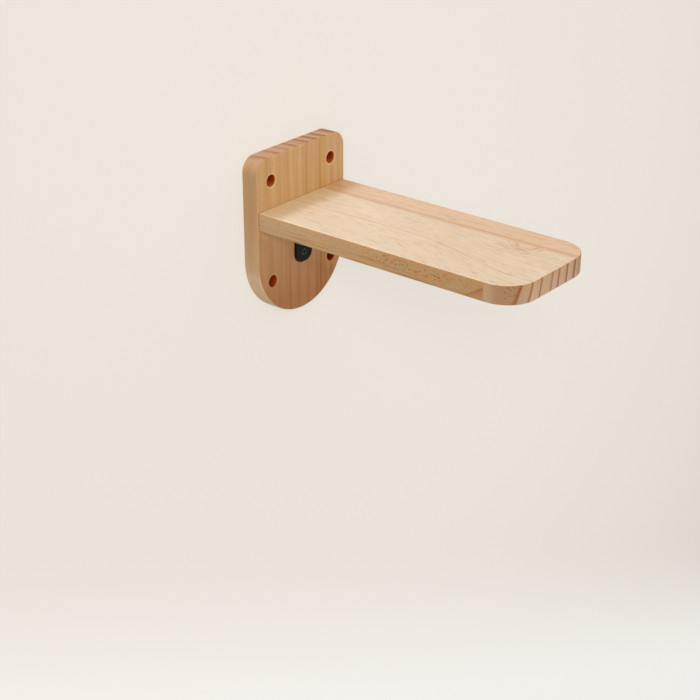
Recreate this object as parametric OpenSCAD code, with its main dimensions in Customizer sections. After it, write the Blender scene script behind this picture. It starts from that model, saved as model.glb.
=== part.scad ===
// Wall step for cats: a tread board butted against a back plate, held by two screws and two dowels
// from behind and by a pressed steel corner brace below. All lengths are in millimetres.
// X runs along the wall, -Y points out of the wall and Z is up. The origin lies on the wall,
// in the middle of the four wall screw holes.

/* [Back plate] */
// Width of the back plate along the wall
plate_w = 132; // [120:1:180]
// Height of the back plate, from its round foot to its top edge
plate_h = 174; // [165:1:240]
// Thickness of the back plate
plate_t = 19; // [16:0.5:24]
// Radius of the two upper corners
plate_corner_r = 16; // [6:0.5:24]
// Rounding of the plate's edges
plate_edge_r = 1.25; // [0.5:0.25:4]

/* [Wall screw holes] */
// From each side of the plate to the middle of the nearer holes
hole_side = 21; // [15:0.5:28]
// From the top edge of the plate to the middle of the upper holes
hole_top = 25; // [18:0.5:32]
// From the upper holes to the lower holes
hole_rows = 106; // [90:1:115]
// Diameter of the hole that the wall screw passes through
hole_d = 5.5; // [4:0.1:7]
// Diameter of the counterbore that hides the screw head
counterbore_d = 12; // [9:0.5:15]
// Depth of the counterbore
counterbore_depth = 9; // [5:0.5:12]
// Chamfer round the mouth of the counterbore
mouth_chamfer = 0.8; // [0.2:0.1:1]

/* [Tread board] */
// Length of the tread, out from the plate
tread_l = 300; // [200:5:400]
// Width of the tread
tread_w = 129; // [110:1:180]
// Thickness of the tread
tread_t = 19; // [16:0.5:24]
// From the top edge of the plate down to the upper face of the tread
tread_drop = 53; // [45:0.5:62]
// Radius of the two front corners
tread_corner_r = 32; // [10:1:50]
// Rounding of the tread's edges
tread_edge_r = 1.25; // [0.5:0.25:5]

/* [Corner brace] */
// Length of each leg, measured from the corner
brace_leg_l = 51; // [48:1:70]
// Width of the brace
brace_w = 25; // [20:1:32]
// Thickness of the sheet
brace_t = 2.5; // [2:0.1:3.2]
// Radius on the open side of the bend
brace_bend_r = 2; // [1.5:0.25:4]
// Radius of the corners at the end of each leg
brace_corner_r = 10; // [4:0.5:10]
// Rounding that the press leaves on the open side of the edges
brace_edge_r = 0.9; // [0.3:0.1:1.2]
// From the end of a leg to its outer screw
brace_hole_end = 10; // [7:0.5:12]
// From the outer screw to the inner screw
brace_hole_pitch = 14; // [11:0.5:15]
// How far along each leg the pressed rib reaches
rib_reach = 18; // [14:0.5:18]
// Width of the rib
rib_w = 8; // [7:0.5:9]

/* [Brace screws] */
// Length of a brace screw
brace_screw_l = 14; // [11:0.5:16]
// Diameter of its shank
brace_screw_d = 4; // [3:0.1:4.5]
// Diameter of its countersunk head
brace_screw_head_d = 8; // [7:0.1:8.5]

/* [Joint screws] */
// Length of a joint screw
joint_screw_l = 60; // [45:1:80]
// Diameter of its shank
joint_screw_d = 5; // [4:0.1:6]
// Diameter of its countersunk head
joint_screw_head_d = 10; // [8.5:0.1:11]
// Distance between the two joint screws
joint_screw_pitch = 44; // [30:1:50]
// How far each head lies below the back of the plate
joint_screw_sink = 0.5; // [0.2:0.1:2]

/* [Dowels] */
// Length of a dowel
dowel_l = 30; // [24:1:40]
// Diameter of a dowel
dowel_d = 8; // [6:0.5:9]
// How much of the dowel lies in the back plate
dowel_in_plate = 11; // [6:0.5:13]
// From the side of the tread to the middle of the dowel
dowel_side = 20.5; // [12:0.5:22]
// Chamfer at both ends of a dowel
dowel_chamfer = 1; // [0.4:0.1:2]

/* [Hidden] */
$fn = 96;

// Clearance round a screw or dowel in its hole
fit_gap = 0.1;
// Room left beyond the inner end of a screw or dowel
end_gap = 1;
// Overrun of every cut past the surface that it opens
cut_over = 1;
// How deep in the sheet the rib is rooted
rib_root_share = 0.6;
// Length of a screw's point, in shank diameters
point_share = 1.2;
// Cross recess in a screw head, in head diameters: length, width and depth
recess_l_share = 0.56;
recess_w_share = 0.12;
recess_depth_share = 0.17;

plate_r = plate_w / 2;
plate_top_z = hole_rows / 2 + hole_top;
plate_foot_z = plate_top_z - plate_h + plate_r;
hole_x = plate_r - hole_side;
hole_z = hole_rows / 2;
plate_front_y = -plate_t;
tread_top_z = plate_top_z - tread_drop;
tread_under_z = tread_top_z - tread_t;
tread_mid_z = tread_top_z - tread_t / 2;
dowel_x = tread_w / 2 - dowel_side;
brace_outer_bend_r = brace_bend_r + brace_t;
brace_outer_hole = brace_leg_l - brace_hole_end;
brace_inner_hole = brace_outer_hole - brace_hole_pitch;
rib_r = rib_w / 2;
rib_crest = (rib_reach + brace_t) / sqrt(2);

pine = "burlywood";
beech = "wheat";
black_coat = "#26262a";
zinc = "silver";

// A quarter of a disc, in the corner between the two axes
module quarter_disc(r) {
    intersection() {
        circle(r);
        square(r);
    }
}

// Half of a board's cross-section, from its middle out to an edge rounded above and below
module half_section(reach, thick, low_r, high_r) {
    rim = max(low_r, high_r);
    square([reach - rim, thick]);
    translate([reach - rim, low_r]) square([rim, thick - low_r - high_r]);
    translate([reach - rim, thick - high_r]) quarter_disc(high_r);
    if (low_r > 0)
        translate([reach - rim, low_r]) mirror([0, 1]) quarter_disc(low_r);
}

module full_section(width, thick, low_r, high_r) {
    half_section(width / 2, thick, low_r, high_r);
    mirror([1, 0]) half_section(width / 2, thick, low_r, high_r);
}

// A flat tongue along Y, cut square at Y = 0 and with two rounded corners at its far end
module tongue(width, length, corner_r, thick, low_r, high_r) {
    straight = length - corner_r;
    corner_x = width / 2 - corner_r;
    translate([0, straight, 0]) rotate([90, 0, 0])
        linear_extrude(straight) full_section(width, thick, low_r, high_r);
    translate([-corner_x, straight, 0]) rotate([90, 0, 90])
        linear_extrude(2 * corner_x) half_section(corner_r, thick, low_r, high_r);
    for (side = [0, 1])
        mirror([side, 0, 0]) translate([corner_x, straight, 0])
            rotate_extrude(angle = 90) half_section(corner_r, thick, low_r, high_r);
}

// A countersunk wood screw along -Z, with its head flush at Z = 0 and a cross recess in it
module wood_screw(length, shank_d, head_d) {
    point_l = point_share * shank_d;
    cone_l = (head_d - shank_d) / 2;
    recess_l = recess_l_share * head_d;
    recess_w = recess_w_share * head_d;
    recess_depth = recess_depth_share * head_d;
    difference() {
        rotate_extrude()
            polygon([
                [0, 0], [head_d / 2, 0], [shank_d / 2, -cone_l],
                [shank_d / 2, point_l - length], [0, -length]
            ]);
        for (turn = [0, 90])
            rotate([0, 0, turn]) translate([-recess_l / 2, -recess_w / 2, -recess_depth])
                cube([recess_l, recess_w, recess_depth + cut_over]);
    }
}

// The hole that a wood screw fills, with its countersink open above Z = 0
module screw_hole(length, shank_d, head_d) {
    cone_l = (head_d - shank_d) / 2;
    head_r = head_d / 2 + fit_gap;
    shank_r = shank_d / 2 + fit_gap;
    rotate_extrude()
        polygon([
            [0, cut_over], [head_r, cut_over], [head_r, 0], [shank_r, -cone_l],
            [shank_r, -length - end_gap], [0, -length - end_gap]
        ]);
}

// A dowel along Z from Z = 0, chamfered at both ends
module dowel_pin() {
    r = dowel_d / 2;
    rotate_extrude()
        polygon([
            [0, 0], [r - dowel_chamfer, 0], [r, dowel_chamfer],
            [r, dowel_l - dowel_chamfer], [r - dowel_chamfer, dowel_l], [0, dowel_l]
        ]);
}

// The hole that a dowel fills
module dowel_hole() {
    translate([0, 0, -end_gap]) cylinder(d = dowel_d + 2 * fit_gap, h = dowel_l + 2 * end_gap);
}

// Puts a joint screw or its hole on one side of the plate's back, heading into the tread's end
module at_joint_screw(side) {
    translate([side * joint_screw_pitch / 2, -joint_screw_sink, tread_mid_z]) rotate([-90, 0, 0])
        children();
}

// Puts a dowel or its hole across the joint between plate and tread
module at_dowel(side) {
    translate([side * dowel_x, plate_front_y + dowel_in_plate, tread_mid_z]) rotate([90, 0, 0])
        children();
}

// Puts a brace screw or its hole on the leg that lies against the plate
module at_plate_leg(along) {
    translate([0, plate_front_y - brace_t, tread_under_z - along]) rotate([90, 0, 0]) children();
}

// Puts a brace screw or its hole on the leg that lies under the tread
module at_tread_leg(along) {
    translate([0, plate_front_y - along, tread_under_z - brace_t]) rotate([180, 0, 0]) children();
}

module brace_screw() {
    wood_screw(brace_screw_l, brace_screw_d, brace_screw_head_d);
}

module brace_screw_hole() {
    screw_hole(brace_screw_l, brace_screw_d, brace_screw_head_d);
}

module joint_screw() {
    wood_screw(joint_screw_l, joint_screw_d, joint_screw_head_d);
}

module joint_screw_hole() {
    screw_hole(joint_screw_l, joint_screw_d, joint_screw_head_d);
}

// One counterbored hole along -Y from the wall, with a chamfered mouth at the front
module wall_hole() {
    rotate([90, 0, 0]) {
        translate([0, 0, -cut_over]) cylinder(d = hole_d, h = plate_t + 2 * cut_over);
        translate([0, 0, plate_t - counterbore_depth])
            cylinder(d = counterbore_d, h = counterbore_depth + cut_over);
        translate([0, 0, plate_t - mouth_chamfer])
            cylinder(d1 = counterbore_d, d2 = counterbore_d + 2 * mouth_chamfer, h = mouth_chamfer);
    }
}

module back_plate() {
    color(pine) difference() {
        translate([0, 0, plate_foot_z]) rotate([90, 0, 0]) {
            tongue(plate_w, plate_h - plate_r, plate_corner_r, plate_t, plate_edge_r, plate_edge_r);
            rotate([0, 0, 180]) rotate_extrude(angle = 180)
                half_section(plate_r, plate_t, plate_edge_r, plate_edge_r);
        }
        for (x = [-hole_x, hole_x], z = [-hole_z, hole_z])
            translate([x, 0, z]) wall_hole();
        for (side = [-1, 1]) {
            at_joint_screw(side) joint_screw_hole();
            at_dowel(side) dowel_hole();
        }
        for (along = [brace_inner_hole, brace_outer_hole])
            at_plate_leg(along) brace_screw_hole();
    }
}

module tread_board() {
    color(pine) difference() {
        translate([0, plate_front_y, tread_under_z]) rotate([0, 0, 180])
            tongue(tread_w, tread_l, tread_corner_r, tread_t, tread_edge_r, tread_edge_r);
        for (side = [-1, 1]) {
            at_joint_screw(side) joint_screw_hole();
            at_dowel(side) dowel_hole();
        }
        for (along = [brace_inner_hole, brace_outer_hole])
            at_tread_leg(along) brace_screw_hole();
    }
}

// One leg of the brace along Y, with its wood side at Z = 0
module brace_leg() {
    translate([0, brace_outer_bend_r, 0])
        tongue(brace_w, brace_leg_l - brace_outer_bend_r, brace_corner_r, brace_t, 0, brace_edge_r);
}

// A bar with a round crest that crosses the corner between the legs at 45 degrees
module rib_bar(half_w) {
    shoulder = rib_crest - rib_r;
    rotate([0, -90, -45]) linear_extrude(2 * brace_leg_l, center = true) {
        translate([-half_w, 0]) square([2 * half_w, shoulder]);
        translate([0, shoulder]) quarter_disc(half_w);
        translate([0, shoulder]) mirror([1, 0]) quarter_disc(half_w);
    }
}

// The bent sheet: X runs out from the plate and Y down from the tread, from the corner between them
module bent_sheet() {
    rotate([0, -90, -90]) brace_leg();
    rotate([0, 90, 0]) brace_leg();
    translate([brace_outer_bend_r, brace_outer_bend_r, 0]) rotate([0, 0, 180])
        rotate_extrude(angle = 90) translate([brace_outer_bend_r, 0]) rotate(90)
            full_section(brace_w, brace_t, 0, brace_edge_r);
}

module corner_brace() {
    rib_root = rib_root_share * brace_t;
    color(black_coat) difference() {
        translate([0, plate_front_y, tread_under_z]) rotate([-90, 0, -90]) difference() {
            union() {
                bent_sheet();
                intersection() {
                    rib_bar(rib_r);
                    translate([rib_root, rib_root, -brace_w]) cube([brace_leg_l, brace_leg_l, 2 * brace_w]);
                }
            }
            rib_bar(rib_r - brace_t);
        }
        for (along = [brace_inner_hole, brace_outer_hole]) {
            at_plate_leg(along) brace_screw_hole();
            at_tread_leg(along) brace_screw_hole();
        }
    }
}

module brace_screw_plate_lower() { color(black_coat) at_plate_leg(brace_outer_hole) brace_screw(); }
module brace_screw_plate_upper() { color(black_coat) at_plate_leg(brace_inner_hole) brace_screw(); }
module brace_screw_tread_inner() { color(black_coat) at_tread_leg(brace_inner_hole) brace_screw(); }
module brace_screw_tread_outer() { color(black_coat) at_tread_leg(brace_outer_hole) brace_screw(); }
module joint_screw_left() { color(zinc) at_joint_screw(-1) joint_screw(); }
module joint_screw_right() { color(zinc) at_joint_screw(1) joint_screw(); }
module dowel_left() { color(beech) at_dowel(-1) dowel_pin(); }
module dowel_right() { color(beech) at_dowel(1) dowel_pin(); }

back_plate();
tread_board();
corner_brace();
brace_screw_plate_lower();
brace_screw_plate_upper();
brace_screw_tread_inner();
brace_screw_tread_outer();
joint_screw_left();
joint_screw_right();
dowel_left();
dowel_right();
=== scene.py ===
import bpy
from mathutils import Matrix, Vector

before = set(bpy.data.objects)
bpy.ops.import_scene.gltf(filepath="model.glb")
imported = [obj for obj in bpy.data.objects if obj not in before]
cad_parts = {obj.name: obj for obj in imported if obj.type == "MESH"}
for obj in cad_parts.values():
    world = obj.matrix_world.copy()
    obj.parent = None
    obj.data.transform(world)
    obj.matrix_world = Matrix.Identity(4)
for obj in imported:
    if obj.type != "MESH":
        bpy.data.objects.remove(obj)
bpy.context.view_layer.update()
scene = bpy.context.scene
scene.view_settings.view_transform = "Standard"
print("frame loaded:", len(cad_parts), "nodes")


def linearColor(hexText):
    parts = [int(hexText[i:i + 2], 16) / 255 for i in (1, 3, 5)]
    return tuple(p / 12.92 if p <= 0.04045 else ((p + 0.055) / 1.055) ** 2.4 for p in parts) + (1.0,)


# settings: an input's value by name or number, a From or To pair, a node property or a ramp's stops,
# with hex colours turned to linear; links: an input's source, a node or a socket
def addNode(tree, kind, settings=None, links=None):
    node = tree.nodes.new("ShaderNode" + kind)
    for name, value in (settings or {}).items():
        if isinstance(value, str) and value.startswith("#"):
            value = linearColor(value)
        if name == "stops":
            elements = node.color_ramp.elements
            while len(elements) < len(value):
                elements.new(1.0)
            for element, (place, tone) in zip(elements, value):
                element.position = place
                element.color = (tone, tone, tone, 1.0)
        elif name in ("From", "To"):
            node.inputs[name + " Min"].default_value = value[0]
            node.inputs[name + " Max"].default_value = value[1]
        elif isinstance(name, int) or name in node.inputs:
            node.inputs[name].default_value = value
        else:
            setattr(node, name, value)
    for name, source in (links or {}).items():
        socket = source.outputs[0] if hasattr(source, "outputs") else source
        tree.links.new(socket, node.inputs[name])
    return node


def newMaterial(name):
    material = bpy.data.materials.new(name)
    material.use_nodes = True
    material.node_tree.nodes.clear()
    return material, material.node_tree


def dress(material, *nodeNames):
    for nodeName in nodeNames:
        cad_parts[nodeName].data.materials[0] = material


# camera at the photograph's viewing angle
cameraSet = {
    "place": (-1.1704, -1.0339, 0.5995),
    "looksAlong": (0.69871, 0.56888, -0.43381),
    "lensMm": 84.81,
    "sensorMm": 36.0,
}
cameraData = bpy.data.cameras.new("camera")
cameraData.lens = cameraSet["lensMm"]
cameraData.sensor_width = cameraSet["sensorMm"]
camera = bpy.data.objects.new("camera", cameraData)
camera.location = cameraSet["place"]
camera.rotation_euler = Vector(cameraSet["looksAlong"]).to_track_quat("-Z", "Y").to_euler()
scene.collection.objects.link(camera)
scene.camera = camera
print("camera set")

# painted wall behind the plate and a pale floor well below, both seen from their front only
stageSet = {
    "middle": "#ede6dd",
    "edge": "#cec7be",
    "foot": "#f7f3ee",
    "glowAt": (0.465, 0.0, -0.157),
    "glowReach": 2.5,
    "footDirection": (0.48, 0.0, 1.0),
    "footPart": (-0.38, -0.66),
    "ownLight": 0.68,
    "shadowShare": 0.42,
    "wallGap": 0.0005,
    "halfWidth": 4.0,
    "floorZ": -1.5,
    "wallTop": 3.0,
    "floorReach": 5.0,
}


def stagePlane(name, corners, material):
    mesh = bpy.data.meshes.new(name)
    mesh.from_pydata(corners, [], [tuple(range(len(corners)))])
    mesh.materials.append(material)
    plane = bpy.data.objects.new(name, mesh)
    plane.visible_shadow = False
    plane.visible_diffuse = False
    plane.visible_transmission = False
    scene.collection.objects.link(plane)


# the wall glows in the middle and brightens towards the floor
def wallColor(tree, place):
    s = stageSet
    away = addNode(tree, "VectorMath", {"operation": "DISTANCE", 1: s["glowAt"]}, {0: place})
    vignette = addNode(tree, "MapRange", {"interpolation_type": "SMOOTHSTEP", "From": (0.0, s["glowReach"])},
                       {"Value": away.outputs["Value"]})
    paint = addNode(tree, "Mix", {"data_type": "RGBA", 6: s["middle"], 7: s["edge"]}, {0: vignette})
    lowness = addNode(tree, "VectorMath", {"operation": "DOT_PRODUCT", 1: s["footDirection"]}, {0: place})
    fade = addNode(tree, "MapRange", {"interpolation_type": "SMOOTHSTEP", "From": s["footPart"]},
                   {"Value": lowness.outputs["Value"]})
    paint = addNode(tree, "Mix", {"data_type": "RGBA", 7: s["foot"]}, {0: fade, 6: paint.outputs[2]})
    return paint.outputs[2]


# part of the paint's light is its own, so the wall stays pale and still takes a soft shadow
def stagePaint(name, isWall):
    s = stageSet
    material, tree = newMaterial(name)
    spot = addNode(tree, "NewGeometry")
    plain = {} if isWall else {"Color": s["foot"]}
    varied = {"Color": wallColor(tree, spot.outputs["Position"])} if isWall else {}
    glow = addNode(tree, "Emission", {**plain, "Strength": s["ownLight"] / (1.0 - s["shadowShare"])}, varied)
    matt = addNode(tree, "BsdfDiffuse", plain, varied)
    front = addNode(tree, "MixShader", {0: s["shadowShare"]}, {1: glow, 2: matt})
    clear = addNode(tree, "BsdfTransparent")
    sided = addNode(tree, "MixShader", {}, {0: spot.outputs["Backfacing"], 1: front, 2: clear})
    addNode(tree, "OutputMaterial", {}, {0: sided})
    return material


side, gap, low = stageSet["halfWidth"], stageSet["wallGap"], stageSet["floorZ"]
high, reach = stageSet["wallTop"], stageSet["floorReach"]
stagePlane("wall", [(-side, gap, low), (side, gap, low), (side, gap, high), (-side, gap, high)],
           stagePaint("matt_wall_paint", True))
stagePlane("floor", [(-side, -reach, low), (side, -reach, low), (side, reach, low), (-side, reach, low)],
           stagePaint("matt_floor_paint", False))
print("stage set")

# plain soft studio light: pale sky stronger from above, one softbox above the wall and one in front
lightSet = {
    "fromBelowAndAbove": (0.46, 0.70),
    "skyPart": (-0.6, 0.6),
    "background": "#ece4db",
    "aim": (0.0, -0.12, 0.02),
    "softboxes": (
        ("top_softbox", (0.0, 1.05, 2.20), 0.50, 19.0),
        ("front_softbox", (-1.52, -1.385, 0.99), 0.55, 22.0),
    ),
}
world = bpy.data.worlds.new("studio")
world.use_nodes = True
scene.world = world
tree = world.node_tree
tree.nodes.clear()
rays = addNode(tree, "LightPath")
seen = addNode(tree, "Math", {"operation": "MAXIMUM"},
               {0: rays.outputs["Is Camera Ray"], 1: rays.outputs["Is Glossy Ray"]})
seen = addNode(tree, "Math", {"operation": "MAXIMUM"}, {0: seen, 1: rays.outputs["Is Transmission Ray"]})
direction = addNode(tree, "TexCoord")
height = addNode(tree, "SeparateXYZ", {}, {0: direction.outputs["Generated"]})
strength = addNode(tree, "MapRange", {"interpolation_type": "SMOOTHSTEP", "From": lightSet["skyPart"],
                                      "To": lightSet["fromBelowAndAbove"]}, {"Value": height.outputs["Z"]})
ambient = addNode(tree, "Background", {"Color": (1, 1, 1, 1)}, {"Strength": strength})
backdrop = addNode(tree, "Background", {"Color": lightSet["background"], "Strength": 1.0})
both = addNode(tree, "MixShader", {}, {0: seen, 1: ambient, 2: backdrop})
addNode(tree, "OutputWorld", {}, {0: both})
for name, place, size, power in lightSet["softboxes"]:
    data = bpy.data.lights.new(name, "AREA")
    data.shape = "SQUARE"
    data.size = size
    data.energy = power
    softbox = bpy.data.objects.new(name, data)
    softbox.location = place
    softbox.rotation_euler = (Vector(lightSet["aim"]) - Vector(place)).to_track_quat("-Z", "Y").to_euler()
    scene.collection.objects.link(softbox)
print("lights set")

# what all surfaces share; here and below a pair is where an effect begins and where it is full, or the
# two ends of its tone
surfaceSet = {
    "mmPerMetre": 1000.0,
    "reliefM": 0.0001,
    "ior": 1.5,
    "detail": 2.0,
    "fineDetail": 3.0,
    "cloudPart": (0.3, 0.7),
    "fleckPart": (0.40, 0.18),
    "springTone": 0.1,
    "latewoodShare": 0.4,
}


# a node's own box in millimetres, its low corner and its high one
def ownBoxMm(nodeName):
    corners = [Vector(c) * surfaceSet["mmPerMetre"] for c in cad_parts[nodeName].bound_box]
    return [[pick(c[axis] for c in corners) for axis in range(3)] for pick in (min, max)]


# a piece's own places in millimetres
def ownMm(tree):
    where = addNode(tree, "TexCoord")
    return addNode(tree, "VectorMath", {"operation": "SCALE", "Scale": surfaceSet["mmPerMetre"]},
                   {0: where.outputs["Object"]})


# the way each of its faces looks along the axes, sign left off
def ownFacing(tree):
    where = addNode(tree, "TexCoord")
    looks = addNode(tree, "VectorMath", {"operation": "ABSOLUTE"}, {0: where.outputs["Normal"]})
    return addNode(tree, "SeparateXYZ", {}, {0: looks}).outputs


# cloudy variation whose clouds have this size in mm
def clouds(tree, vector, sizeMm, fine=False):
    scaled = addNode(tree, "VectorMath", {"operation": "DIVIDE", 1: sizeMm}, {0: vector})
    detail = surfaceSet["fineDetail" if fine else "detail"]
    noise = addNode(tree, "TexNoise", {"Scale": 1.0, "Detail": detail}, {"Vector": scaled})
    return noise.outputs[0]


# resin pores and short dark flecks: some of the cells of this size in mm hold one
def flecks(tree, vector, sizeMm, share):
    scaled = addNode(tree, "VectorMath", {"operation": "DIVIDE", 1: sizeMm}, {0: vector})
    cells = addNode(tree, "TexVoronoi", {"Scale": 1.0}, {"Vector": scaled})
    lot = addNode(tree, "SeparateColor", {}, {0: cells.outputs["Color"]})
    chosen = addNode(tree, "Math", {"operation": "LESS_THAN", 1: share}, {0: lot})
    dot = addNode(tree, "MapRange", {"From": surfaceSet["fleckPart"]}, {"Value": cells.outputs["Distance"]})
    return addNode(tree, "Math", {"operation": "MULTIPLY"}, {0: chosen, 1: dot})


# growth rings: each darkens slowly through the summer and ends sharply;
# lines are (place in mm, strength, length of the summer in mm)
def growthRings(tree, across, lines, endMm):
    first = lines[0][0] - lines[0][2] - endMm
    span = lines[-1][0] + 2 * endMm - first
    stops = []
    for place, tone, riseMm in lines:
        begins = place - riseMm
        darkest = place - surfaceSet["latewoodShare"] * endMm
        ends = place + endMm
        for point, pointTone in ((begins, surfaceSet["springTone"] * tone), (darkest, tone), (ends, 0.0)):
            stops.append(((point - first) / span, pointTone))
    along = addNode(tree, "MapRange", {"From": (first, first + span)}, {"Value": across})
    return addNode(tree, "ValToRGB", {"stops": stops}, {0: along})


# pine board, planed and finger-jointed, under clear satin lacquer: pale even faces with a broad reddish
# line and fine dashes, warmer pored edges, and red-brown latewood lines standing in the cross-cut front end
treadSet = {
    # colours
    "face": "#d8bfa2",
    # painted light: the near-plate face colours are paler, to offset the shade of the plate
    "faceNearPlate": "#e2cbb0",
    "farStave": "#d4b290",
    "farStaveNearPlate": "#dab999",
    "broadLine": "#cca482",
    "broadLineFront": "#c99d76",
    # painted shade and warm bounce light from the plate, on the face near it
    "plateWarmShade": "#fef4d6",
    "plateWarmShadeFar": "#feeac1",
    "edge": "#bb8d5b",
    "edgeOlive": "#b69361",
    "edgeNearPlate": "#bf986c",
    "edgeFar": "#f7f0ea",
    "edgeStreak": "#9a6236",
    "cornerStave": "#b4926b",
    "cornerBrown": "#a57d57",
    "end": "#d0a98b",
    "endOlive": "#c8a376",
    "endTurned": "#dadad1",
    "endFar": "#a9793f",
    "arrisLacquer": "#f5ead7",
    "latewood": "#904608",
    "faceLine": "#b9845c",
    "pore": "#7e3c10",
    # painted shade in the joint with the plate
    "jointLine": "#4a2b14",
    # sheen, and how far a surface has to look up, forward or sideways to count as one cut
    "roughness": (0.42, 0.54),
    "specularLevel": 0.40,
    "bumpStrength": 0.25,
    "facePart": (0.60, 0.95),
    "endPart": (0.05, 0.38),
    "endTurnedPart": (0.15, 0.55),
    "crossCutPart": (0.40, 0.55),
    "flatPart": (0.30, 0.10),
    # growth rings and the way they run
    "ringsInEnd": ((-50.4, 0.95, 3), (-38.8, 0.85, 3), (-24.2, 0.95, 3), (-6.3, 0.75, 4), (5.0, 0.95, 3),
                   (18.8, 1.0, 4), (32.2, 1.0, 5.5), (40, 0.4, 4), (55, 0.3, 5)),
    "ringsInFace": ((-52, 0.25, 3), (-38.5, 0.75, 2.5), (-23.2, 0.25, 3), (-5.6, 0.25, 3), (5.7, 0.25, 3),
                    (18.7, 0.3, 3), (55, 0.45, 4)),
    "ringEndMm": 1.3,
    "lineEndMm": 1.0,
    "slant": 0.013,
    "slantFromY": -168.0,
    "straightAtX": 35.0,
    "convergence": 0.61,
    "convergeY": (-299.0, -154.0),
    "leanAtMiddle": 0.19,
    "leanPerMm": -0.0012,
    "waverMm": 2.4,
    "waverSizeMm": (38, 120, 60),
    "swirlAt": (21.0, -268.0, 25.0),
    "swirlSizeMm": (10.0, 18.0, 40.0),
    "swirlReach": 2.0,
    "swirlPushMm": 12.0,
    "swirlDusk": 0.20,
    # upper and lower face
    "paleY": (-220.0, -40.0),
    "farStaveX": (31.0, 37.0),
    "broadLineX": (26.0, 40.0),
    "broadLineShape": ((0.0, 0.0), (0.29, 0.26), (0.57, 0.9), (0.68, 1.0), (0.89, 0.0)),
    "broadLineFadeY": (-25.0, -60.0),
    "broadLineAtPlate": 0.35,
    "broadLineFrontY": (-130.0, -190.0),
    "warmShadeFromPlateMm": (36.0, 9.0),
    # painted highlight along the near arris
    "arrisHighlightFromEdgeMm": (3.5, 1.5),
    "arrisHighlightGain": 1.05,
    # long edges and front end
    "edgePatchSizeMm": (20, 16, 7),
    "edgePatchPart": (0.40, 0.60),
    "edgeNearPlateY": (-165.0, -60.0),
    "edgeFarY": (-140.0, -275.0),
    "edgeStreakSizeMm": (8, 45, 1.6),
    "edgeStreakPart": (0.48, 0.64),
    "edgeStreakTone": 0.7,
    "edgeStreakDepthMm": (4.0, 16.0),
    "cornerStaveY": -284.4,
    "cornerBrownTo": -50.4,
    "endOlivePart": (0.36, 0.66),
    "endOliveUpper": 0.4,
    "endFarX": (33.0, 39.0),
    "endFarTone": 0.45,
    "lacquerDepthMm": (2.4, 1.0),
    "lacquerOnEdge": 0.5,
    "fibreSizeMm": (1.3, 40, 1.3),  # coarser than real fibres, so that they show
    "fibreTone": (1.03, 0.97),
    "mottleSizeMm": (14, 36, 9),
    "mottleTone": (0.97, 1.03),
    # the ring that surfaces in the near edge
    "wedgeFromEdgeMm": 4.5,
    "wedgeTopZ": 19.2,
    "wedgeSlope": 0.62,
    "wedgeDepthMm": (-1.0, 7.0),
    "wedgeShape": ((0.0, 0.0), (0.16, 0.80), (0.38, 0.35), (1.0, 0.12)),
    "wedgeFadeMm": (-30.0, -3.0),
    "wedgeFarTone": 0.1,
    # dashes in the faces, pores in edges and ends, joint
    "breakSizeMm": (14, 26, 14),
    "breakPart": (0.38, 0.58),
    "brokenTone": 0.45,
    "dashSizeMm": (1.1, 13, 1.1),
    "dashPart": (0.53, 0.70),
    "dashMoreInSwirl": 0.06,
    "dashTone": 0.6,
    "dashMoreTone": 0.4,
    "poreSizeMm": (2.4, 4.4, 1.5),  # coarser than real resin pores, so that they show
    "poreShare": 0.55,
    "poreTone": 0.9,
    "poreStretchY": -214.0,
    "poreStretchMm": (62.0, 40.3),
    "poreOffStretch": 0.3,
    "poreRowDepthMm": 7.8,
    "poreRowMm": (6.5, 3.5),
    "poreOffRow": 0.15,
    "clusterSizeMm": (30, 34, 13),
    "clusterPart": (0.30, 0.44),
    "cornerPoreSizeMm": (1.6, 1.9, 1.0),
    "cornerPoreShare": 0.75,
    "jointFromPlateMm": (1.0, 0.3),
    "jointTone": 0.6,
}


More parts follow.
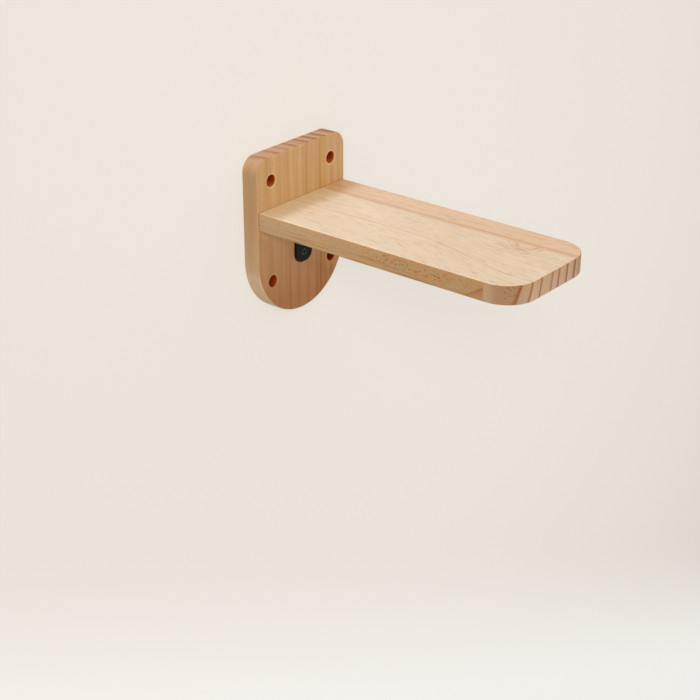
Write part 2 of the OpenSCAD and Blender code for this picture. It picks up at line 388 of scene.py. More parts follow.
def treadPine():
    s = treadSet
    (nearX, _, footZ), (_, plateY, topZ) = ownBoxMm("tread_board")
    material, tree = newMaterial("lacquered_pine_planed")
    mm = ownMm(tree)
    at = addNode(tree, "SeparateXYZ", {}, {0: mm}).outputs
    facing = ownFacing(tree)

    # rings run along the board, draw together towards the plate, lean in the end and bend round a swirl
    spread = addNode(tree, "MapRange", {"interpolation_type": "SMOOTHSTEP", "From": s["convergeY"],
                                        "To": (1.0, 1.0 + s["convergence"])}, {"Value": at["Y"]})
    lean = addNode(tree, "Math", {"operation": "MULTIPLY_ADD", 1: s["leanPerMm"], 2: s["leanAtMiddle"]},
                   {0: at["X"]})
    depth = addNode(tree, "Math", {"operation": "SUBTRACT", 0: topZ}, {1: at["Z"]})
    upright = addNode(tree, "Math", {"operation": "MULTIPLY_ADD"}, {0: lean, 1: depth, 2: at["X"]})
    fromMiddle = addNode(tree, "Math", {"operation": "SUBTRACT", 1: s["slantFromY"]}, {0: at["Y"]})
    straight = addNode(tree, "Math", {"operation": "MULTIPLY_ADD", 1: s["slant"]},
                       {0: fromMiddle, 2: upright})
    offLine = addNode(tree, "Math", {"operation": "SUBTRACT", 1: s["straightAtX"]}, {0: straight})
    across = addNode(tree, "Math", {"operation": "MULTIPLY_ADD", 2: s["straightAtX"]},
                     {0: offLine, 1: spread})
    waver = addNode(tree, "MapRange", {"To": (-s["waverMm"], s["waverMm"])},
                    {"Value": clouds(tree, mm, s["waverSizeMm"])})
    across = addNode(tree, "Math", {"operation": "ADD"}, {0: across, 1: waver})
    fromSwirl = addNode(tree, "VectorMath", {"operation": "SUBTRACT", 1: s["swirlAt"]}, {0: mm})
    fromSwirl = addNode(tree, "VectorMath", {"operation": "DIVIDE", 1: s["swirlSizeMm"]}, {0: fromSwirl})
    fromSwirl = addNode(tree, "VectorMath", {"operation": "LENGTH"}, {0: fromSwirl})
    swirl = addNode(tree, "MapRange", {"interpolation_type": "SMOOTHERSTEP", "From": (0.0, s["swirlReach"]),
                                       "To": (1.0, 0.0)}, {"Value": fromSwirl.outputs["Value"]})
    across = addNode(tree, "Math", {"operation": "MULTIPLY_ADD", 1: s["swirlPushMm"]}, {0: swirl, 2: across})
    grain = addNode(tree, "CombineXYZ", {}, {0: across, 1: at["Y"], 2: at["Z"]})
    mottle = clouds(tree, mm, s["mottleSizeMm"], fine=True)
    fibre = clouds(tree, grain, s["fibreSizeMm"], fine=True)

    # which cut each surface is: planed face, long edge or cross-cut end
    isFace = addNode(tree, "MapRange", {"interpolation_type": "SMOOTHSTEP", "From": s["facePart"]},
                     {"Value": facing["Z"]})
    notFace = addNode(tree, "Math", {"operation": "SUBTRACT", 0: 1.0}, {1: isFace})
    isEnd = addNode(tree, "MapRange", {"interpolation_type": "SMOOTHSTEP", "From": s["endPart"]},
                    {"Value": facing["Y"]})

    # edge: olive and red-brown patches, streaks low down, paler by the plate, a paler stave at the corner
    patch = addNode(tree, "MapRange", {"From": s["edgePatchPart"]},
                    {"Value": clouds(tree, mm, s["edgePatchSizeMm"])})
    edge = addNode(tree, "Mix", {"data_type": "RGBA", 6: s["edge"], 7: s["edgeOlive"]}, {0: patch})
    nearPlate = addNode(tree, "MapRange", {"From": s["edgeNearPlateY"]}, {"Value": at["Y"]})
    edge = addNode(tree, "Mix", {"data_type": "RGBA", 7: s["edgeNearPlate"]},
                   {0: nearPlate, 6: edge.outputs[2]})
    farAlong = addNode(tree, "MapRange", {"From": s["edgeFarY"]}, {"Value": at["Y"]})
    edge = addNode(tree, "Mix", {"data_type": "RGBA", "blend_type": "MULTIPLY", 7: s["edgeFar"]},
                   {0: farAlong, 6: edge.outputs[2]})
    streak = addNode(tree, "MapRange", {"From": s["edgeStreakPart"], "To": (0.0, s["edgeStreakTone"])},
                     {"Value": clouds(tree, mm, s["edgeStreakSizeMm"], fine=True)})
    lowDown = addNode(tree, "MapRange", {"From": s["edgeStreakDepthMm"]}, {"Value": depth})
    streak = addNode(tree, "Math", {"operation": "MULTIPLY"}, {0: streak, 1: lowDown})
    edge = addNode(tree, "Mix", {"data_type": "RGBA", 7: s["edgeStreak"]}, {0: streak, 6: edge.outputs[2]})
    pastStave = addNode(tree, "Math", {"operation": "LESS_THAN", 1: s["cornerStaveY"]}, {0: at["Y"]})
    beforeStave = addNode(tree, "Math", {"operation": "SUBTRACT", 0: 1.0}, {1: pastStave})
    edge = addNode(tree, "Mix", {"data_type": "RGBA", 7: s["cornerStave"]},
                   {0: pastStave, 6: edge.outputs[2]})

    # face: painted light, paler towards the plate to offset the plate's shade; pinker in the stave beyond
    # the broad line
    pale = addNode(tree, "MapRange", {"From": s["paleY"]}, {"Value": at["Y"]})
    face = addNode(tree, "Mix", {"data_type": "RGBA", 6: s["face"], 7: s["faceNearPlate"]}, {0: pale})
    farStave = addNode(tree, "Mix", {"data_type": "RGBA", 6: s["farStave"], 7: s["farStaveNearPlate"]},
                       {0: pale})
    pastLine = addNode(tree, "MapRange", {"interpolation_type": "SMOOTHSTEP", "From": s["farStaveX"]},
                       {"Value": straight})
    face = addNode(tree, "Mix", {"data_type": "RGBA"},
                   {0: pastLine, 6: face.outputs[2], 7: farStave.outputs[2]})

    # the broad reddish line itself, faint by the plate and redder to the front, and the dusky swirl
    onBroad = addNode(tree, "MapRange", {"From": s["broadLineX"]}, {"Value": straight})
    onBroad = addNode(tree, "ValToRGB", {"stops": s["broadLineShape"]}, {0: onBroad})
    begun = addNode(tree, "MapRange", {"From": s["broadLineFadeY"], "To": (s["broadLineAtPlate"], 1.0)},
                    {"Value": at["Y"]})
    onBroad = addNode(tree, "Math", {"operation": "MULTIPLY"}, {0: onBroad, 1: begun})
    toFront = addNode(tree, "MapRange", {"From": s["broadLineFrontY"]}, {"Value": at["Y"]})
    broad = addNode(tree, "Mix", {"data_type": "RGBA", 6: s["broadLine"], 7: s["broadLineFront"]},
                    {0: toFront})
    face = addNode(tree, "Mix", {"data_type": "RGBA"},
                   {0: onBroad, 6: face.outputs[2], 7: broad.outputs[2]})
    dusk = addNode(tree, "Math", {"operation": "MULTIPLY", 1: s["swirlDusk"]}, {0: swirl})
    face = addNode(tree, "Mix", {"data_type": "RGBA", 7: s["faceLine"]}, {0: dusk, 6: face.outputs[2]})

    # painted golden bounce light and shade by the plate, and a painted highlight along the near arris
    warmShade = addNode(tree, "Mix", {"data_type": "RGBA", 6: s["plateWarmShade"], 7: s["plateWarmShadeFar"]}, {0: pastLine})
    warmShaded = addNode(tree, "MapRange", {"From": [plateY - away for away in s["warmShadeFromPlateMm"]]},
                    {"Value": at["Y"]})
    face = addNode(tree, "Mix", {"data_type": "RGBA", "blend_type": "MULTIPLY"},
                   {0: warmShaded, 6: face.outputs[2], 7: warmShade.outputs[2]})
    # painted highlight: the face is paler along the near arris
    arrisHighlight = addNode(tree, "MapRange", {"From": [nearX + mmIn for mmIn in s["arrisHighlightFromEdgeMm"]],
                                        "To": (1.0, s["arrisHighlightGain"])}, {"Value": at["X"]})
    face = addNode(tree, "VectorMath", {"operation": "SCALE"}, {0: face.outputs[2], "Scale": arrisHighlight})

    # end: pinkish and olive patches, greyer round the corners, brown at the near one and beyond the line
    olive = addNode(tree, "MapRange", {"From": s["endOlivePart"]}, {"Value": mottle})
    upper = addNode(tree, "MapRange", {"From": (0.0, topZ - footZ),
                                       "To": (s["endOliveUpper"], -s["endOliveUpper"])}, {"Value": depth})
    olive = addNode(tree, "Math", {"operation": "ADD", "use_clamp": True}, {0: olive, 1: upper})
    end = addNode(tree, "Mix", {"data_type": "RGBA", 6: s["end"], 7: s["endOlive"]}, {0: olive})
    far = addNode(tree, "MapRange", {"From": s["endFarX"], "To": (0.0, s["endFarTone"])},
                  {"Value": straight})
    end = addNode(tree, "Mix", {"data_type": "RGBA", 7: s["endFar"]}, {0: far, 6: end.outputs[2]})
    turned = addNode(tree, "MapRange", {"From": s["endTurnedPart"]}, {"Value": facing["X"]})
    end = addNode(tree, "Mix", {"data_type": "RGBA", "blend_type": "MULTIPLY", 7: s["endTurned"]},
                  {0: turned, 6: end.outputs[2]})
    atCorner = addNode(tree, "Math", {"operation": "LESS_THAN", 1: s["cornerBrownTo"]}, {0: across})
    end = addNode(tree, "Mix", {"data_type": "RGBA", 7: s["cornerBrown"]}, {0: atCorner, 6: end.outputs[2]})
    color = addNode(tree, "Mix", {"data_type": "RGBA"}, {0: isEnd, 6: edge.outputs[2], 7: end.outputs[2]})

    # lacquer gathered just below the arris is golden, most of all on the thirsty end grain
    gathered = addNode(tree, "MapRange", {"From": s["lacquerDepthMm"]}, {"Value": depth})
    thirst = addNode(tree, "MapRange", {"To": (s["lacquerOnEdge"], 1.0)}, {"Value": isEnd})
    gathered = addNode(tree, "Math", {"operation": "MULTIPLY"}, {0: gathered, 1: thirst})
    color = addNode(tree, "Mix", {"data_type": "RGBA", "blend_type": "MULTIPLY", 7: s["arrisLacquer"]},
                    {0: gathered, 6: color.outputs[2]})
    color = addNode(tree, "Mix", {"data_type": "RGBA"}, {0: isFace, 6: color.outputs[2], 7: face})

    # fibres and broader patches lighten and darken it a little
    fibreTone = addNode(tree, "MapRange", {"From": surfaceSet["cloudPart"], "To": s["fibreTone"]},
                        {"Value": fibre})
    mottleTone = addNode(tree, "MapRange", {"From": surfaceSet["cloudPart"], "To": s["mottleTone"]},
                         {"Value": mottle})
    tone = addNode(tree, "Math", {"operation": "MULTIPLY"}, {0: fibreTone, 1: mottleTone})
    color = addNode(tree, "VectorMath", {"operation": "SCALE"}, {0: color.outputs[2], "Scale": tone})

    # latewood: strong in the end, and one ring that surfaces in the edge beside the corner stave
    inEnd = growthRings(tree, across, s["ringsInEnd"], s["ringEndMm"])
    inEnd = addNode(tree, "Math", {"operation": "MULTIPLY"}, {0: inEnd, 1: isEnd})
    fromStave = addNode(tree, "Math", {"operation": "SUBTRACT", 0: s["cornerStaveY"]}, {1: at["Y"]})
    crest = addNode(tree, "Math", {"operation": "MULTIPLY_ADD", 1: s["wedgeSlope"], 2: s["wedgeTopZ"]},
                    {0: fromStave})
    underCrest = addNode(tree, "Math", {"operation": "SUBTRACT"}, {0: crest, 1: at["Z"]})
    underCrest = addNode(tree, "MapRange", {"From": s["wedgeDepthMm"]}, {"Value": underCrest})
    wedge = addNode(tree, "ValToRGB", {"stops": s["wedgeShape"]}, {0: underCrest})
    fade = addNode(tree, "MapRange", {"From": s["wedgeFadeMm"], "To": (s["wedgeFarTone"], 1.0)},
                   {"Value": fromStave})
    wedge = addNode(tree, "Math", {"operation": "MULTIPLY"}, {0: wedge, 1: fade})
    onEdge = addNode(tree, "Math", {"operation": "LESS_THAN", 1: nearX + s["wedgeFromEdgeMm"]},
                     {0: at["X"]})
    wedge = addNode(tree, "Math", {"operation": "MULTIPLY"}, {0: wedge, 1: onEdge})
    wedge = addNode(tree, "Math", {"operation": "MULTIPLY"}, {0: wedge, 1: beforeStave})
    ring = addNode(tree, "Math", {"operation": "MAXIMUM"}, {0: inEnd, 1: wedge})
    ring = addNode(tree, "Math", {"operation": "MULTIPLY"}, {0: ring, 1: notFace})
    color = addNode(tree, "Mix", {"data_type": "RGBA", 7: s["latewood"]}, {0: ring, 6: color})

    # faces: the same rings as thin broken lines, with short reddish dashes between them and round the swirl
    inFace = growthRings(tree, across, s["ringsInFace"], s["lineEndMm"])
    broken = addNode(tree, "MapRange", {"From": s["breakPart"], "To": (s["brokenTone"], 1.0)},
                     {"Value": clouds(tree, mm, s["breakSizeMm"])})
    inFace = addNode(tree, "Math", {"operation": "MULTIPLY"}, {0: inFace, 1: broken})
    dash = addNode(tree, "Math", {"operation": "MULTIPLY_ADD", 1: s["dashMoreInSwirl"]},
                   {0: swirl, 2: clouds(tree, grain, s["dashSizeMm"])})
    dash = addNode(tree, "MapRange", {"interpolation_type": "SMOOTHSTEP", "From": s["dashPart"]},
                   {"Value": dash})
    dashTone = addNode(tree, "Math", {"operation": "MULTIPLY_ADD", 1: s["dashMoreTone"], 2: s["dashTone"]},
                       {0: swirl})
    dash = addNode(tree, "Math", {"operation": "MULTIPLY"}, {0: dash, 1: dashTone})
    line = addNode(tree, "Math", {"operation": "MAXIMUM"}, {0: inFace, 1: dash})
    line = addNode(tree, "Math", {"operation": "MULTIPLY"}, {0: line, 1: isFace})
    color = addNode(tree, "Mix", {"data_type": "RGBA", 7: s["faceLine"]}, {0: line, 6: color.outputs[2]})

    # edges and ends: clusters of red-brown resin pores, most along one stretch of the edge
    cluster = addNode(tree, "MapRange", {"From": s["clusterPart"]},
                      {"Value": clouds(tree, mm, s["clusterSizeMm"])})
    offStretch = addNode(tree, "Math", {"operation": "SUBTRACT", 1: s["poreStretchY"]}, {0: at["Y"]})
    offStretch = addNode(tree, "Math", {"operation": "ABSOLUTE"}, {0: offStretch})
    inStretch = addNode(tree, "MapRange", {"From": s["poreStretchMm"], "To": (s["poreOffStretch"], 1.0)},
                        {"Value": offStretch})
    offRow = addNode(tree, "Math", {"operation": "SUBTRACT", 1: s["poreRowDepthMm"]}, {0: depth})
    offRow = addNode(tree, "Math", {"operation": "ABSOLUTE"}, {0: offRow})
    inRow = addNode(tree, "MapRange", {"From": s["poreRowMm"], "To": (s["poreOffRow"], 1.0)},
                    {"Value": offRow})
    cluster = addNode(tree, "Math", {"operation": "MULTIPLY"}, {0: cluster, 1: inStretch})
    cluster = addNode(tree, "Math", {"operation": "MULTIPLY"}, {0: cluster, 1: inRow})
    onEnd = addNode(tree, "Math", {"operation": "SUBTRACT", "use_clamp": True}, {0: isEnd, 1: atCorner})
    pored = addNode(tree, "Math", {"operation": "MAXIMUM"}, {0: beforeStave, 1: onEnd})
    cluster = addNode(tree, "Math", {"operation": "MULTIPLY"}, {0: cluster, 1: pored})
    pore = addNode(tree, "Math", {"operation": "MULTIPLY"},
                   {0: flecks(tree, mm, s["poreSizeMm"], s["poreShare"]), 1: cluster})

    # at the corner they stand in rows along the rings
    rowSpot = addNode(tree, "CombineXYZ", {}, {0: across, 1: at["Z"]})
    rows = flecks(tree, rowSpot, s["cornerPoreSizeMm"], s["cornerPoreShare"])
    cornerPore = addNode(tree, "Math", {"operation": "MULTIPLY"}, {0: rows, 1: atCorner})
    crossCut = addNode(tree, "MapRange", {"From": s["crossCutPart"]}, {"Value": facing["Y"]})
    cornerPore = addNode(tree, "Math", {"operation": "MULTIPLY"}, {0: cornerPore, 1: crossCut})
    pore = addNode(tree, "Math", {"operation": "MAXIMUM"}, {0: pore, 1: cornerPore})
    flat = addNode(tree, "MapRange", {"From": s["flatPart"]}, {"Value": facing["Z"]})
    pore = addNode(tree, "Math", {"operation": "MULTIPLY"}, {0: pore, 1: flat})
    poreTone = addNode(tree, "Math", {"operation": "MULTIPLY", 1: s["poreTone"]}, {0: pore})
    color = addNode(tree, "Mix", {"data_type": "RGBA", 7: s["pore"]}, {0: poreTone, 6: color.outputs[2]})

    # painted shade: a dark hairline where the board butts against the plate, for the shadow in the joint
    joint = addNode(tree, "MapRange", {"From": [plateY - away for away in s["jointFromPlateMm"]],
                                       "To": (0.0, s["jointTone"])}, {"Value": at["Y"]})
    color = addNode(tree, "Mix", {"data_type": "RGBA", 7: s["jointLine"]}, {0: joint, 6: color.outputs[2]})

    relief = addNode(tree, "Math", {"operation": "SUBTRACT"}, {0: fibre, 1: pore})
    bump = addNode(tree, "Bump", {"Strength": s["bumpStrength"], "Distance": surfaceSet["reliefM"]},
                   {"Height": relief})
    gloss = addNode(tree, "MapRange", {"To": s["roughness"]}, {"Value": fibre})
    shader = addNode(tree, "BsdfPrincipled",
                     {"IOR": surfaceSet["ior"], "Specular IOR Level": s["specularLevel"]},
                     {"Base Color": color.outputs[2], "Roughness": gloss, "Normal": bump})
    addNode(tree, "OutputMaterial", {}, {0: shader})
    return material


dress(treadPine(), "tread_board")
print("tread dressed")

# the same pine cut across a riper part of the log and oiled: soft warm stripes up the plate, banded end
# grain on top, and drill holes with red-brown walls painted darker with depth, and a pale sanded rim
plateSet = {
    # colours
    "face": "#d1a678",
    "faceOlive": "#cba470",
    "stripe": "#b57f45",
    "goldenBand": "#fbf6e0",
    # painted shade tint for the front below the tread and the lower hole mouths
    "foot": "#dbb89c",
    "side": "#bc9062",
    "sideFoot": "#d4af87",
    "end": "#bc926d",
    "latewood": "#8a4a1e",
    "fleck": "#7c4a24",
    # holeFloor is painted shade deep in the holes, holeLow painted light on their lower walls
    "holeWall": "#a03e05",
    "holeFloor": "#802b03",
    "holeLow": "#c86a26",
    # sheen, and how far a surface has to look forward or up to count as face or end
    "roughness": (0.48, 0.60),
    "specularLevel": 0.22,
    "bumpStrength": 0.2,
    "facePart": (0.45, 0.80),
    "endPart": (0.40, 0.85),
    "sideAgainstFace": -0.35,
    # growth rings and stripes
    "ringsInEnd": ((-50, 0.6, 7), (-31.2, 0.65, 9), (-16.5, 0.5, 7), (-3.7, 0.7, 8), (4.3, 0.45, 4),
                   (12.8, 0.9, 7), (25.6, 0.9, 8), (38.1, 0.9, 8), (53, 1.0, 8), (62, 0.6, 5)),
    "ringsInFace": ((-61, 0.6, 4), (-50, 0.5, 5), (-32, 0.3, 6), (-18.5, 0.35, 5), (-5.8, 0.5, 7),
                    (9.5, 0.55, 6), (22.6, 0.45, 4), (29.6, 0.95, 3), (45.3, 0.5, 3), (57.5, 0.45, 3)),
    "ringEndMm": 1.4,
    "ringTone": 0.5,
    "leanInTop": 0.2,
    "waverMm": 1.4,
    "waverSizeMm": (24, 40, 150),
    "stripeSizeMm": (5.5, 16, 170),
    "stripePart": (0.36, 0.70),
    "stripeTone": 0.30,
    "stripeBolder": 0.35,
    "tintSizeMm": (7, 20, 60),
    "tintPart": (0.40, 0.60),
    "bandX": 31.0,
    "bandMm": (8.0, 4.0),
    # front below the tread, and long edges
    "frontSkinMm": (1.2, 0.4),
    "behindTreadMm": (1.0, 2.0),
    # painted shade below the tread, strongest at the foot
    "footAtTread": 0.43,
    "underShadeZ": (-20.0, -84.0),
    # painted light below the tread, against the tread's cast shadow
    "paleDirection": (1.0, 0.0, 1.6),
    "palePart": (-70.0, -48.0),
    "paler": 0.28,
    "sideZ": (10.0, -70.0),
    "sideFootShape": ((0.0, 0.0), (0.30, 0.2), (0.57, 0.38), (0.70, 1.0)),
    "sideStripeTone": (1.08, 0.92),
    "fibreSizeMm": (1.3, 1.3, 32),  # coarser than real fibres, so that they show
    "fibreTone": (0.95, 1.05),
    "fleckSizeMm": (2.4, 2.4, 5.0),
    "fleckShare": 0.12,
    "fleckTone": 0.15,
    # wall holes
    "holeAt": (45.0, 0.0, 53.0),
    "holeRadiusMm": 6.2,
    "holeDeepMm": (0.9, 8.5),
    "holeLowMm": (3.0, 7.0),
    "mouthRadiusMm": 7.0,
    "backSkinMm": 0.4,
    "rimMm": (8.2, 7.4),
    "rimSkinMm": (0.35, 0.1),
    "rimPaler": 0.25,
}


def platePine():
    s = plateSet
    (_, frontY, _), (_, backY, _) = ownBoxMm("back_plate")
    (_, _, treadFootZ), (_, _, treadTopZ) = ownBoxMm("tread_board")
    material, tree = newMaterial("oiled_pine_sanded")
    mm = ownMm(tree)
    at = addNode(tree, "SeparateXYZ", {}, {0: mm}).outputs
    facing = ownFacing(tree)
    depth = addNode(tree, "Math", {"operation": "SUBTRACT", 1: frontY}, {0: at["Y"]})
    across = addNode(tree, "Math", {"operation": "MULTIPLY_ADD", 1: s["leanInTop"]}, {0: depth, 2: at["X"]})
    waver = addNode(tree, "MapRange", {"To": (-s["waverMm"], s["waverMm"])},
                    {"Value": clouds(tree, mm, s["waverSizeMm"])})
    across = addNode(tree, "Math", {"operation": "ADD"}, {0: across, 1: waver})
    grain = addNode(tree, "CombineXYZ", {}, {0: across, 1: at["Y"], 2: at["Z"]})

    # painted shade: the front below the tread is darker and redder, most of all at the foot
    behindTread = (treadTopZ - s["behindTreadMm"][0], treadFootZ + s["behindTreadMm"][1])
    below = addNode(tree, "MapRange", {"From": behindTread}, {"Value": at["Z"]})
    onFront = addNode(tree, "MapRange", {"From": s["frontSkinMm"]}, {"Value": depth})
    below = addNode(tree, "Math", {"operation": "MULTIPLY"}, {0: below, 1: onFront})
    underShade = addNode(tree, "MapRange", {"From": s["underShadeZ"], "To": (s["footAtTread"], 1.0)},
                      {"Value": at["Z"]})
    underShade = addNode(tree, "Math", {"operation": "MULTIPLY"}, {0: underShade, 1: below})

    # faces: soft stripes with thin ring lines between them, pinkish and olive by turns, one golden band
    lines = clouds(tree, grain, s["stripeSizeMm"], fine=True)
    stripe = addNode(tree, "MapRange", {"interpolation_type": "SMOOTHSTEP", "From": s["stripePart"],
                                        "To": (0.0, s["stripeTone"])}, {"Value": lines})
    inFace = growthRings(tree, across, s["ringsInFace"], s["ringEndMm"])
    stripe = addNode(tree, "Math", {"operation": "MULTIPLY_ADD", 1: s["ringTone"]}, {0: inFace, 2: stripe})
    bolder = addNode(tree, "Math", {"operation": "MULTIPLY_ADD", 1: s["stripeBolder"], 2: 1.0}, {0: underShade})
    stripe = addNode(tree, "Math", {"operation": "MULTIPLY"}, {0: stripe, 1: bolder})
    tint = addNode(tree, "MapRange", {"From": s["tintPart"]},
                   {"Value": clouds(tree, grain, s["tintSizeMm"])})
    face = addNode(tree, "Mix", {"data_type": "RGBA", 6: s["face"], 7: s["faceOlive"]}, {0: tint})
    face = addNode(tree, "Mix", {"data_type": "RGBA", 7: s["stripe"]}, {0: stripe, 6: face.outputs[2]})
    offBand = addNode(tree, "Math", {"operation": "SUBTRACT", 1: s["bandX"]}, {0: at["X"]})
    offBand = addNode(tree, "Math", {"operation": "ABSOLUTE"}, {0: offBand})
    onBand = addNode(tree, "MapRange", {"From": s["bandMm"]}, {"Value": offBand})
    face = addNode(tree, "Mix", {"data_type": "RGBA", "blend_type": "MULTIPLY", 7: s["goldenBand"]},
                   {0: onBand, 6: face.outputs[2]})
    # painted shade below the tread
    face = addNode(tree, "Mix", {"data_type": "RGBA", "blend_type": "MULTIPLY", 7: s["foot"]},
                   {0: underShade, 6: face.outputs[2]})

    # painted light: below the tread the front is paler to the right and up towards the tread, against its
    # cast shadow
    pale = addNode(tree, "VectorMath", {"operation": "DOT_PRODUCT", 1: s["paleDirection"]}, {0: mm})
    pale = addNode(tree, "MapRange", {"From": s["palePart"], "To": (0.0, s["paler"])},
                   {"Value": pale.outputs["Value"]})
    paler = addNode(tree, "Math", {"operation": "MULTIPLY_ADD", 2: 1.0}, {0: pale, 1: below})
    face = addNode(tree, "VectorMath", {"operation": "SCALE"}, {0: face.outputs[2], "Scale": paler})

    # long edges: plainer, paler round the foot
    lower = addNode(tree, "MapRange", {"From": s["sideZ"]}, {"Value": at["Z"]})
    atFoot = addNode(tree, "ValToRGB", {"stops": s["sideFootShape"]}, {0: lower})
    edge = addNode(tree, "Mix", {"data_type": "RGBA", 6: s["side"], 7: s["sideFoot"]}, {0: atFoot})
    stripeTone = addNode(tree, "MapRange", {"From": surfaceSet["cloudPart"], "To": s["sideStripeTone"]},
                         {"Value": lines})
    edge = addNode(tree, "VectorMath", {"operation": "SCALE"}, {0: edge.outputs[2], "Scale": stripeTone})
    toFront = addNode(tree, "Math", {"operation": "MULTIPLY_ADD", 1: s["sideAgainstFace"]},
                      {0: facing["X"], 2: facing["Y"]})
    isFace = addNode(tree, "MapRange", {"interpolation_type": "SMOOTHSTEP", "From": s["facePart"]},
                     {"Value": toFront})
    color = addNode(tree, "Mix", {"data_type": "RGBA"}, {0: isFace, 6: edge, 7: face})

    # upper end: the rings themselves
    isEnd = addNode(tree, "MapRange", {"interpolation_type": "SMOOTHSTEP", "From": s["endPart"]},
                    {"Value": facing["Z"]})
    isUpper = addNode(tree, "Math", {"operation": "GREATER_THAN", 1: 0.0}, {0: at["Z"]})
    isEnd = addNode(tree, "Math", {"operation": "MULTIPLY"}, {0: isEnd, 1: isUpper})
    notFace = addNode(tree, "Math", {"operation": "SUBTRACT", 0: 1.0}, {1: isFace})
    isEnd = addNode(tree, "Math", {"operation": "MULTIPLY"}, {0: isEnd, 1: notFace})
    inEnd = growthRings(tree, across, s["ringsInEnd"], s["ringEndMm"])
    end = addNode(tree, "Mix", {"data_type": "RGBA", 6: s["end"], 7: s["latewood"]}, {0: inEnd})
    color = addNode(tree, "Mix", {"data_type": "RGBA"}, {0: isEnd, 6: color.outputs[2], 7: end.outputs[2]})

    # fibres and a few flecks all over
    fibre = clouds(tree, mm, s["fibreSizeMm"])
    fibreTone = addNode(tree, "MapRange", {"From": surfaceSet["cloudPart"], "To": s["fibreTone"]},
                        {"Value": fibre})
    color = addNode(tree, "VectorMath", {"operation": "SCALE"}, {0: color.outputs[2], "Scale": fibreTone})
    fleck = addNode(tree, "Math", {"operation": "MULTIPLY", 1: s["fleckTone"]},
                    {0: flecks(tree, grain, s["fleckSizeMm"], s["fleckShare"])})
    color = addNode(tree, "Mix", {"data_type": "RGBA", 7: s["fleck"]}, {0: fleck, 6: color})

    # the four wall holes mirror each other, so one distance serves them all: first the pale rims
    quarter = addNode(tree, "VectorMath", {"operation": "ABSOLUTE"}, {0: mm})
    offHole = addNode(tree, "VectorMath", {"operation": "SUBTRACT", 1: s["holeAt"]}, {0: quarter})
    flatten = (1.0, 0.0, 1.0)  # depth doesn't count
    offHole = addNode(tree, "VectorMath", {"operation": "MULTIPLY", 1: flatten}, {0: offHole})
    offHole = addNode(tree, "VectorMath", {"operation": "LENGTH"}, {0: offHole}).outputs["Value"]
    rim = addNode(tree, "MapRange", {"From": s["rimMm"]}, {"Value": offHole})
    flatFront = addNode(tree, "MapRange", {"From": s["rimSkinMm"]}, {"Value": depth})
    rim = addNode(tree, "Math", {"operation": "MULTIPLY"}, {0: rim, 1: flatFront})
    rimTone = addNode(tree, "Math", {"operation": "MULTIPLY_ADD", 1: s["rimPaler"], 2: 1.0}, {0: rim})
    color = addNode(tree, "VectorMath", {"operation": "SCALE"}, {0: color.outputs[2], "Scale": rimTone})

    # painted shade: the mouths of the lower two take the same tint as the front below the tread
    mouth = addNode(tree, "Math", {"operation": "LESS_THAN", 1: s["mouthRadiusMm"]}, {0: offHole})
    mouthShade = addNode(tree, "Math", {"operation": "GREATER_THAN"}, {0: mouth, 1: isUpper})
    beforeBack = addNode(tree, "Math", {"operation": "LESS_THAN", 1: backY - frontY - s["backSkinMm"]},
                         {0: depth})
    mouthShade = addNode(tree, "Math", {"operation": "MULTIPLY"}, {0: mouthShade, 1: beforeBack})
    color = addNode(tree, "Mix", {"data_type": "RGBA", "blend_type": "MULTIPLY", 7: s["foot"]},
                    {0: mouthShade, 6: color})

    # red-brown walls with painted shade that darkens with depth, and painted light on the lower walls of the
    # upper two
    within = addNode(tree, "Math", {"operation": "LESS_THAN", 1: s["holeRadiusMm"]}, {0: offHole})
    inside = addNode(tree, "Math", {"operation": "GREATER_THAN", 1: s["holeDeepMm"][0]}, {0: depth})
    inHole = addNode(tree, "Math", {"operation": "MULTIPLY"}, {0: within, 1: inside})
    inHole = addNode(tree, "Math", {"operation": "MULTIPLY"}, {0: inHole, 1: beforeBack})
    deep = addNode(tree, "MapRange", {"From": s["holeDeepMm"]}, {"Value": depth})
    hole = addNode(tree, "Mix", {"data_type": "RGBA", 6: s["holeWall"], 7: s["holeFloor"]}, {0: deep})
    lowWall = addNode(tree, "MapRange", {"From": [s["holeAt"][2] - drop for drop in s["holeLowMm"]]},
                      {"Value": at["Z"]})
    lowWall = addNode(tree, "Math", {"operation": "MULTIPLY"}, {0: lowWall, 1: isUpper})
    hole = addNode(tree, "Mix", {"data_type": "RGBA", 7: s["holeLow"]}, {0: lowWall, 6: hole.outputs[2]})
    color = addNode(tree, "Mix", {"data_type": "RGBA"},
                    {0: inHole, 6: color.outputs[2], 7: hole.outputs[2]})

    bump = addNode(tree, "Bump", {"Strength": s["bumpStrength"], "Distance": surfaceSet["reliefM"]},
                   {"Height": fibre})
    gloss = addNode(tree, "MapRange", {"To": s["roughness"]}, {"Value": lines})
    shader = addNode(tree, "BsdfPrincipled",
                     {"IOR": surfaceSet["ior"], "Specular IOR Level": s["specularLevel"]},
                     {"Base Color": color.outputs[2], "Roughness": gloss, "Normal": bump})
    addNode(tree, "OutputMaterial", {}, {0: shader})
    return material


dress(platePine(), "back_plate")
print("plate dressed")

# satin black powder coat baked on pressed steel: near black, dull sheen broken by fine orange peel
braceSet = {
    "coat": "#0a0a08",
    "thin": "#10100d",
    "roughness": (0.42, 0.58),
    "specularLevel": 0.09,
    "bumpStrength": 0.3,
    "peelSizeMm": (0.9, 0.9, 0.9),
    "patchSizeMm": (8, 8, 8),
}


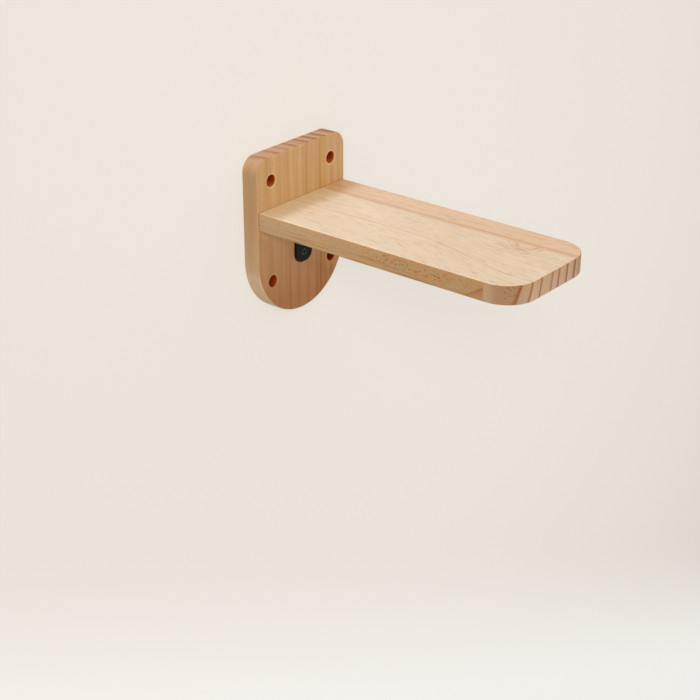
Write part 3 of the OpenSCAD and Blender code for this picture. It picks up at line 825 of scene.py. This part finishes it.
def braceCoat():
    s = braceSet
    material, tree = newMaterial("powder_coated_pressed_steel")
    mm = ownMm(tree)
    patch = clouds(tree, mm, s["patchSizeMm"])
    color = addNode(tree, "Mix", {"data_type": "RGBA", 6: s["coat"], 7: s["thin"]}, {0: patch})
    gloss = addNode(tree, "MapRange", {"To": s["roughness"]}, {"Value": patch})
    bump = addNode(tree, "Bump", {"Strength": s["bumpStrength"], "Distance": surfaceSet["reliefM"]},
                   {"Height": clouds(tree, mm, s["peelSizeMm"])})
    shader = addNode(tree, "BsdfPrincipled",
                     {"IOR": surfaceSet["ior"], "Specular IOR Level": s["specularLevel"]},
                     {"Base Color": color.outputs[2], "Roughness": gloss, "Normal": bump})
    addNode(tree, "OutputMaterial", {}, {0: shader})
    return material


dress(braceCoat(), "corner_brace")

# screws: black oxide steel, painted glints of bright metal in spots; zinc plate bright, slightly cool
screwSets = {
    "black_oxide_steel": {
        # the bright spots on black oxide are painted glints
        "dark": "#0e0e0e",
        "bright": "#40403c",
        "roughness": (0.28, 0.48),
        "patchSizeMm": (1.6, 1.6, 1.6),
        "brightPart": (0.42, 0.60),
    },
    "zinc_plated_steel": {
        "dark": "#b4b8bb",
        "bright": "#d4d6d7",
        "roughness": (0.18, 0.38),
        "patchSizeMm": (0.7, 0.7, 0.7),
        "brightPart": (0.42, 0.60),
    },
}


def screwSteel(name):
    s = screwSets[name]
    material, tree = newMaterial(name)
    patch = clouds(tree, ownMm(tree), s["patchSizeMm"], fine=True)
    bright = addNode(tree, "MapRange", {"From": s["brightPart"]}, {"Value": patch})
    color = addNode(tree, "Mix", {"data_type": "RGBA", 6: s["dark"], 7: s["bright"]}, {0: bright})
    gloss = addNode(tree, "MapRange", {"To": s["roughness"]}, {"Value": patch})
    shader = addNode(tree, "BsdfPrincipled", {"Metallic": 1.0},
                     {"Base Color": color.outputs[2], "Roughness": gloss})
    addNode(tree, "OutputMaterial", {}, {0: shader})
    return material


dress(screwSteel("black_oxide_steel"), "brace_screw_plate_lower", "brace_screw_plate_upper",
      "brace_screw_tread_inner", "brace_screw_tread_outer")
dress(screwSteel("zinc_plated_steel"), "joint_screw_left", "joint_screw_right")

# turned beech, raw: even pale brown with short dark ray flecks along the pin
dowelSet = {
    "wood": "#c9a277",
    "ray": "#a5774c",
    "raySizeMm": (0.7, 3.0, 0.7),
    "rayPart": (0.52, 0.70),
    "roughness": 0.6,
    "bumpStrength": 0.2,
}


def dowelBeech():
    s = dowelSet
    material, tree = newMaterial("turned_beech")
    rays = clouds(tree, ownMm(tree), s["raySizeMm"])
    dark = addNode(tree, "MapRange", {"From": s["rayPart"]}, {"Value": rays})
    color = addNode(tree, "Mix", {"data_type": "RGBA", 6: s["wood"], 7: s["ray"]}, {0: dark})
    bump = addNode(tree, "Bump", {"Strength": s["bumpStrength"], "Distance": surfaceSet["reliefM"]},
                   {"Height": rays})
    shader = addNode(tree, "BsdfPrincipled", {"Roughness": s["roughness"], "IOR": surfaceSet["ior"]},
                     {"Base Color": color.outputs[2], "Normal": bump})
    addNode(tree, "OutputMaterial", {}, {0: shader})
    return material


dress(dowelBeech(), "dowel_left", "dowel_right")
print("brace, screws and dowels dressed")
